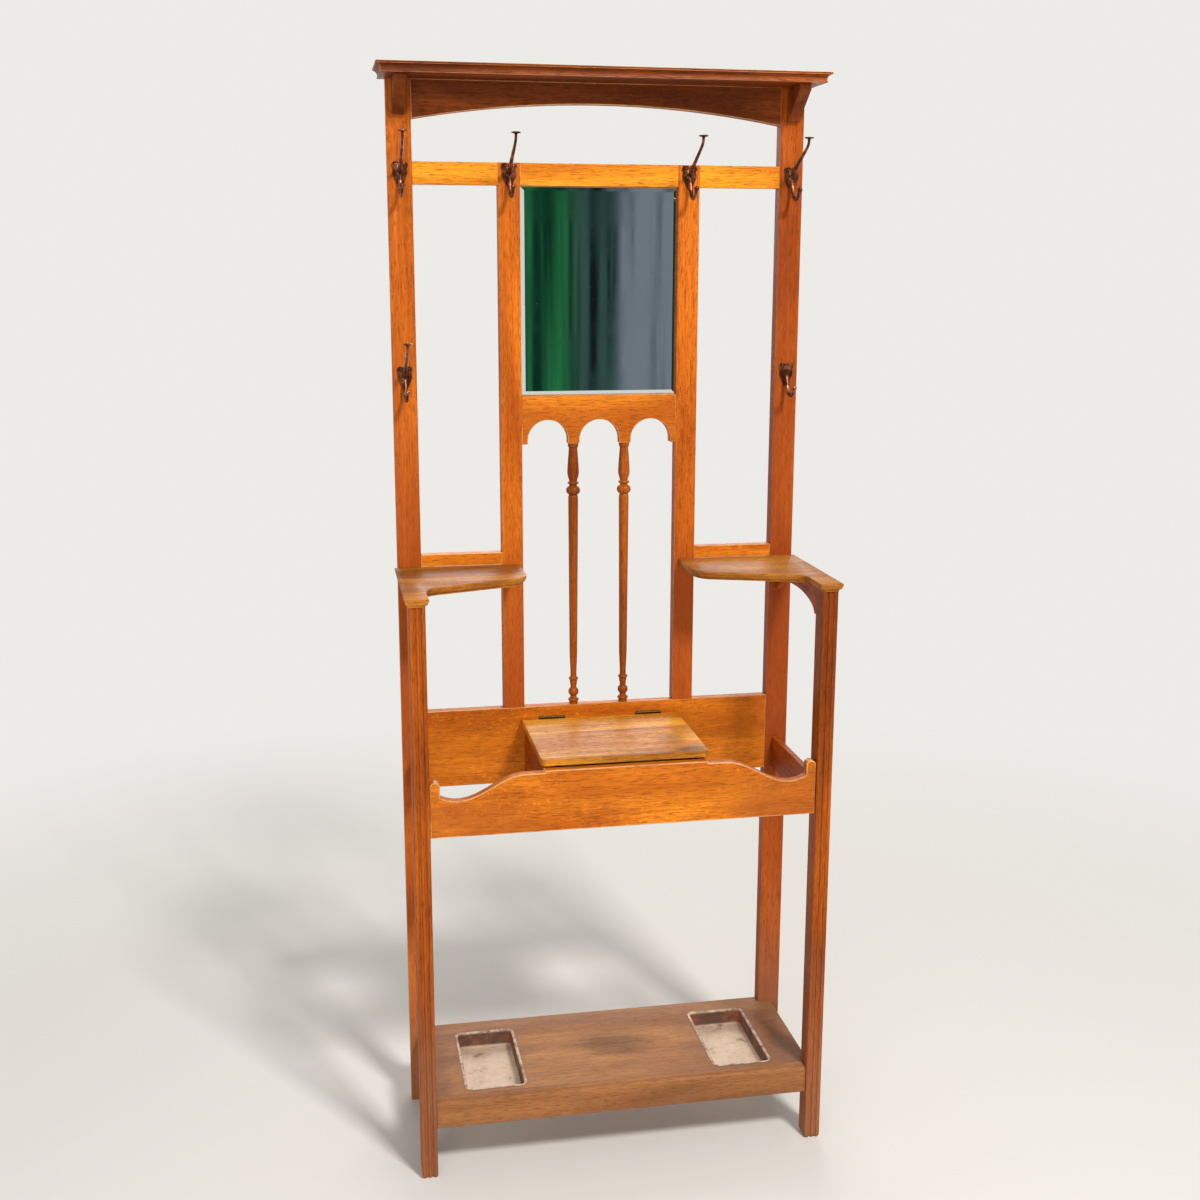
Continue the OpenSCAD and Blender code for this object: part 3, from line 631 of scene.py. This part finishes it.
# ---------------------------------------------------------------- coat hooks
def plate_outline(steps=72):
    """Distance from the plate's middle to its edge in each direction, for a shield with two lobes."""
    discs = [(0.0, 6.0, 13.0), (-7.0, 18.0, 7.0), (7.0, 18.0, 7.0)]
    discs += [(0.0, 6.0 - 21.0 * k / 12, 13.0 - 8.5 * k / 12) for k in range(1, 13)]
    mid = (0.0, 5.0)
    out = []
    for i in range(steps):
        a = 2 * math.pi * i / steps
        dx, dz = math.cos(a), math.sin(a)
        best = 0.0
        for cx, cz, r in discs:
            ox, oz = cx - mid[0], cz - mid[1]
            along = ox * dx + oz * dz
            off = ox * ox + oz * oz - along * along
            if off < r * r:
                best = max(best, along + math.sqrt(r * r - off))
        out.append((dx, dz, best))
    return mid, out


def hook(node, mat, long_arm=True):
    """A cast hat and coat hook, in millimetres about the level that its plate is drawn from."""
    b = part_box(node)
    cx = (b[0].x + b[1].x) / 2
    knob_z = 68.0
    knob_top = knob_z + 2.0
    plate_top = 25.0
    z_mid = b[1].z - (knob_top if long_arm else plate_top) * MM
    mid, rim = plate_outline()
    shells = []
    # plate: (step in, distance out) of its back, side, rolled border, sunk field and crowned middle
    steps = [(0.0, 0.0), (0.0, -1.5), (0.25, -2.2), (0.9, -2.75), (1.7, -2.9), (2.3, -2.6), (3.0, -2.45),
             (6.0, -2.7), (9.0, -3.4)]
    rings = []
    for inset, y in steps:
        ring = []
        for dx, dz, r in rim:
            rr = max(0.6, r - inset)
            ring.append((mid[0] + dx * rr, y, mid[1] + dz * rr))
        rings.append(ring)
    shells.append(stack_rings(rings))
    # boss where the arms spring
    boss_r, boss_rise, boss_z = 7.2, 6.6, 4
    turn = [2 * math.pi * i / 28 for i in range(28)]
    boss = []
    for k in range(8):
        a = math.radians(90 * k / 8)
        r, y = boss_r * math.cos(a), -1.8 - boss_rise * math.sin(a)
        boss.append([(r * math.cos(t), y, boss_z + r * math.sin(t)) for t in turn])
    shells.append(stack_rings(boss))
    if long_arm:
        path = smooth_path([(-2, 4, 4.6), (-10, 9.5, 4.2), (-24, 19, 3.7), (-48, 31.5, 3.2), (-72, 43.5, 2.8),
                            (-88, 52, 2.55), (-95.5, 58.5, 2.4), (-98, 65.5, 2.35)], 7)
        shells.append(tube(path))
        knob = [(0.2, -3.4), (3.0, -3.2), (3.2, -2.6), (2.7, -2.0), (3.4, -1.6), (6.2, -1.2), (7.9, -0.6),
                (8.45, 0.1), (8.4, 0.7), (7.6, 1.2), (5.6, 1.65), (3.0, 1.95), (0.2, 2.0)]
        shells.append(lathe(knob, (0.0, -98.0, knob_z), steps=36))
    else:
        # the stump that is all the photograph shows of this long arm
        path = smooth_path([(-2, 4, 4.6), (-8, 8.2, 4.3), (-14, 12, 3.9), (-19.5, 15.6, 3.3)], 6)
        shells.append(tube(path))
    # the short lower arm and the ball at its tip
    path = smooth_path([(-2, 3, 4.6), (-8.5, -9, 4.0), (-14, -22, 3.6), (-20, -30, 3.45), (-29, -34, 3.3),
                        (-38, -33.6, 3.15), (-45.5, -30, 3.0), (-51, -24, 2.9), (-54, -19, 2.9)], 7)
    shells.append(tube(path))
    tip_r = 4.6
    tip = [(tip_r * math.cos(math.radians(a)), tip_r * math.sin(math.radians(a))) for a in range(-88, 89, 11)]
    shells.append(lathe(tip, (0.0, -54.0, -18.6), steps=28))
    v, f = join_shells(shells)
    v = [(cx + x * MM, FACE_Y + y * MM, z_mid + z * MM) for x, y, z in v]
    mesh = mesh_from(node, v, f)
    bm = bmesh.new()
    bm.from_mesh(mesh)
    bmesh.ops.recalc_face_normals(bm, faces=bm.faces)
    bm.to_mesh(mesh)
    bm.free()
    add_piece("cast_" + node, mesh, node, mat)
    mesh.set_sharp_from_angle(angle=math.radians(60))      # softer than the wood: it is cast


def recolour(node, mat):
    """Gives a CAD node that stays as it is its material."""
    NODES[node].data.materials.clear()
    NODES[node].data.materials.append(mat)


HOOK_METAL = bronze("coppered_bronze")
for hook_name in ("outer_left", "inner_left", "inner_right", "outer_right", "lower_left"):
    hook("hook_" + hook_name, HOOK_METAL)
hook("hook_lower_right", HOOK_METAL, long_arm=False)
recolour("hook_screws", HOOK_METAL)

# ---------------------------------------------------------------- hinges, mirror
BRASS = old_brass("dull_brass")
for part in ("fixed_leaves", "lid_leaves", "pins", "fixed_screws", "lid_screws"):
    recolour("hinge_" + part, BRASS)


def mirror(bevel_width, bevel_drop):
    """A flat pane with a ground bevel on its four front edges, each face shaded flat so that
    the bevel throws its own reflection."""
    low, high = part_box("mirror_glass")
    inset = Vector((bevel_width, 0.0, bevel_width))
    rings = []
    for y, a, b in ((high.y, low, high), (low.y + bevel_drop, low, high), (low.y, low + inset, high - inset)):
        rings.append([(a.x, y, a.z), (b.x, y, a.z), (b.x, y, b.z), (a.x, y, b.z)])
    v, f = stack_rings(rings)
    mesh = close_up(mesh_from("mirror_pane", v, f))
    add_piece("mirror_pane", mesh, "mirror_glass", silvered("silvered_glass"))
    mesh.shade_flat()


mirror(8.0 * MM, 1.1 * MM)


# ---------------------------------------------------------------- drip trays
def round_rect(x0, x1, y0, y1, r, z):
    """A level rectangle with round corners, as a ring of points."""
    pts = []
    for cx, cy, a0 in ((x1 - r, y1 - r, 0), (x0 + r, y1 - r, 90), (x0 + r, y0 + r, 180), (x1 - r, y0 + r, 270)):
        pts += [(x, y, z) for x, y in arc(cx, cy, r, math.radians(a0), math.radians(a0 + 90), 8)]
    return pts


def tray(side):
    """A pressed drip tray with a rolled flange, its rim and walls a little dented."""
    node = side + "_drip_tray"
    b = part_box(node)
    x0, x1, y0, y1 = b[0].x, b[1].x, b[0].y, b[1].y
    top, bottom = b[1].z, b[0].z
    flange, r = 4 * MM, 14 * MM

    def ring(inset, z):
        return round_rect(x0 + inset, x1 - inset, y0 + inset, y1 - inset, max(r - inset, 2 * MM), z)

    under = top - 1.0 * MM
    wall = flange + 0.2 * MM
    rings = [ring(wall + 5 * MM, bottom), ring(wall + 1.8 * MM, bottom + 0.6 * MM), ring(wall, bottom + 3 * MM),
             ring(wall, under), ring(0.5 * MM, under), ring(0.0, under + 0.35 * MM), ring(0.0, top - 0.3 * MM),
             ring(0.5 * MM, top), ring(2.2 * MM, top), ring(3.6 * MM, top - 0.3 * MM),
             ring(wall + 1.1 * MM, top - 1.4 * MM), ring(wall + 1.2 * MM, bottom + 4.2 * MM),
             ring(wall + 1.9 * MM, bottom + 2.2 * MM), ring(wall + 4.6 * MM, bottom + 1.1 * MM),
             ring(wall + 22 * MM, bottom + 1.7 * MM)]
    v, f = stack_rings(rings)
    mesh = close_up(mesh_from(node, v, f))
    bm = bmesh.new()
    bm.from_mesh(mesh)
    long_edges = [e for e in bm.edges if e.calc_length() > 30 * MM]
    bmesh.ops.subdivide_edges(bm, edges=long_edges, cuts=11, use_grid_fill=True)
    mid = Vector(((x0 + x1) / 2, (y0 + y1) / 2, 0.0))
    dent = 1.1 * MM
    for vert in bm.verts:
        here = vert.co
        if here.z > under + 0.5 * MM or (bottom + 6 * MM < here.z < under - 1 * MM):
            wave = noise.noise(Vector((here.x * 38, here.y * 38, 3.0 if side == "left" else 9.0)))
            inward = Vector((mid.x - here.x, mid.y - here.y, 0.0)).normalized()
            vert.co = here + inward * dent * max(0.0, 0.35 + wave)
    bm.to_mesh(mesh)
    bm.free()
    add_piece("sheet_" + node, mesh, node, zinc("zinc_" + side, bottom))


tray("left")
tray("right")

# ---------------------------------------------------------------- floor, lights, camera
BACKDROP = "EDEBE7"


def floor_paint():
    """Matt pale paint that fades, for the camera and for reflections, into the backdrop away from the stand."""
    g = Graph("floor_paint")
    g.bsdf.inputs["Base Color"].default_value = rgb("DEDAD3")
    g.bsdf.inputs["Roughness"].default_value = 0.9
    g.bsdf.inputs["Specular IOR Level"].default_value = 0.1
    away = g.node("ShaderNodeVectorMath", operation="LENGTH")
    g.link(g.coords, away.inputs[0])
    fade = g.remap(away.outputs["Value"], 0.9, 3.0)
    path = g.node("ShaderNodeLightPath")
    seen = g.math("MAXIMUM", path.outputs["Is Camera Ray"], path.outputs["Is Glossy Ray"])
    plain_glow = g.node("ShaderNodeEmission")
    plain_glow.inputs["Color"].default_value = rgb(BACKDROP)
    both = g.node("ShaderNodeMixShader")
    g.link(g.math("MULTIPLY", fade, seen), both.inputs[0])
    g.link(g.bsdf.outputs[0], both.inputs[1])
    g.link(plain_glow.outputs[0], both.inputs[2])
    g.link(both.outputs[0], g.out.inputs[0])
    return g.mat


bpy.ops.mesh.primitive_circle_add(vertices=96, radius=40.0, fill_type="NGON", location=(0, 0, -0.0005))
floor = bpy.context.object
floor.name = "studio_floor"
floor.data.materials.append(floor_paint())

# a glowing striped card that only glossy rays see, for the mirror to look into: a painted reflection
CARD_X = (-0.4, 4.4)
CARD_Y = -5.6
CARD_Z = (0.2, 7.5)


def reflection_card_paint():
    """Glowing stripes over x: green, then near black, then grey, then dark green, the painted reflection that
    the mirror shows.
    """
    g = Graph("painted_reflection_stripes")
    parts = g.node("ShaderNodeSeparateXYZ")
    g.link(g.coords, parts.inputs[0])
    across = parts.outputs[0]
    folds = g.noise(g.vmath("MULTIPLY", g.coords, (16.0, 1.0, 0.3)), detail=3.0)
    green = g.mix(g.remap(folds, 0.35, 0.65), rgb("0E3324"), rgb("2C7A4C"))
    dark = g.mix(g.remap(folds, 0.40, 0.60), rgb("101C1E"), rgb("3A5450"))
    grey = g.mix(g.remap(folds, 0.45, 0.62), rgb("7C8490"), rgb("565E6C"))
    col = green
    for start, end, stripe in ((0.88, 1.00, dark), (1.18, 1.23, grey), (1.9, 2.2, rgb("1C3A30"))):
        col = g.mix(g.remap(across, start, end), col, stripe)
    glow = g.node("ShaderNodeEmission")
    g.put(glow.inputs["Color"], col)
    g.link(glow.outputs[0], g.out.inputs[0])
    return g.mat


card_corners = [(CARD_X[0], CARD_Y, CARD_Z[0]), (CARD_X[1], CARD_Y, CARD_Z[0]),
                (CARD_X[1], CARD_Y, CARD_Z[1]), (CARD_X[0], CARD_Y, CARD_Z[1])]
card = bpy.data.objects.new("painted_reflection_card", mesh_from("painted_reflection_card", card_corners, [(0, 1, 2, 3)]))
bpy.context.scene.collection.objects.link(card)
card.data.materials.append(reflection_card_paint())
card.visible_camera = False
card.visible_diffuse = False
card.visible_shadow = False
card.visible_transmission = False


def area(name, place, target, size, power):
    """A square white lamp of so many metres and watts, turned to its target."""
    lamp = bpy.data.lights.new(name, "AREA")
    lamp.shape = "SQUARE"
    lamp.size = size
    lamp.energy = power
    obj = bpy.data.objects.new(name, lamp)
    obj.location = place
    obj.rotation_euler = (Vector(target) - Vector(place)).to_track_quat("-Z", "Y").to_euler()
    bpy.context.scene.collection.objects.link(obj)
    return obj


area("key", (1.3, -3.4, 4.5), (0.0, 0.0, 1.0), 0.8, 235.0)
fill = area("fill", (-1.6, -4.2, 1.7), (0.0, 0.0, 0.9), 2.6, 75.0)
fill.visible_glossy = False         # the mirror's bevel would show it as a white line
area("back", (0.6, 3.4, 2.6), (0.0, 0.1, 1.0), 2.2, 60.0)

world = bpy.data.worlds.new("studio")
bpy.context.scene.world = world
world.use_nodes = True
wt = world.node_tree
wt.nodes.clear()
w_out = wt.nodes.new("ShaderNodeOutputWorld")
w_light = wt.nodes.new("ShaderNodeBackground")
w_light.inputs["Color"].default_value = (1.0, 1.0, 1.0, 1.0)
w_light.inputs["Strength"].default_value = 0.36       # what lights the stand
w_show = wt.nodes.new("ShaderNodeBackground")
w_show.inputs["Color"].default_value = rgb(BACKDROP)
w_show.inputs["Strength"].default_value = 1.0         # what the camera and reflections see
w_path = wt.nodes.new("ShaderNodeLightPath")
w_max = wt.nodes.new("ShaderNodeMath")
w_max.operation = "MAXIMUM"
w_mix = wt.nodes.new("ShaderNodeMixShader")
wt.links.new(w_path.outputs["Is Camera Ray"], w_max.inputs[0])
wt.links.new(w_path.outputs["Is Glossy Ray"], w_max.inputs[1])
wt.links.new(w_max.outputs[0], w_mix.inputs[0])
wt.links.new(w_light.outputs[0], w_mix.inputs[1])
wt.links.new(w_show.outputs[0], w_mix.inputs[2])
wt.links.new(w_mix.outputs[0], w_out.inputs[0])

# the photograph's camera, worked out from the stand's own right angles
CAM_PLACE = (-0.5286, -2.6417, 1.6252)
CAM_TURN = math.radians(10.833)      # to the right of straight on
CAM_DIP = math.radians(12.369)       # below level
CAM_ROLL = math.radians(-0.127)
CAM_FOCAL = 45.578                  # millimetres on a 36 mm wide frame
cam_data = bpy.data.cameras.new("camera")
cam_data.sensor_fit = "HORIZONTAL"
cam_data.sensor_width = 36.0
cam_data.lens = CAM_FOCAL
camera = bpy.data.objects.new("camera", cam_data)
camera.matrix_world = (Matrix.Translation(CAM_PLACE) @ Matrix.Rotation(-CAM_TURN, 4, "Z")
                       @ Matrix.Rotation(math.pi / 2 - CAM_DIP, 4, "X") @ Matrix.Rotation(-CAM_ROLL, 4, "Z"))
bpy.context.scene.collection.objects.link(camera)
bpy.context.scene.camera = camera
bpy.context.scene.view_settings.view_transform = "Standard"
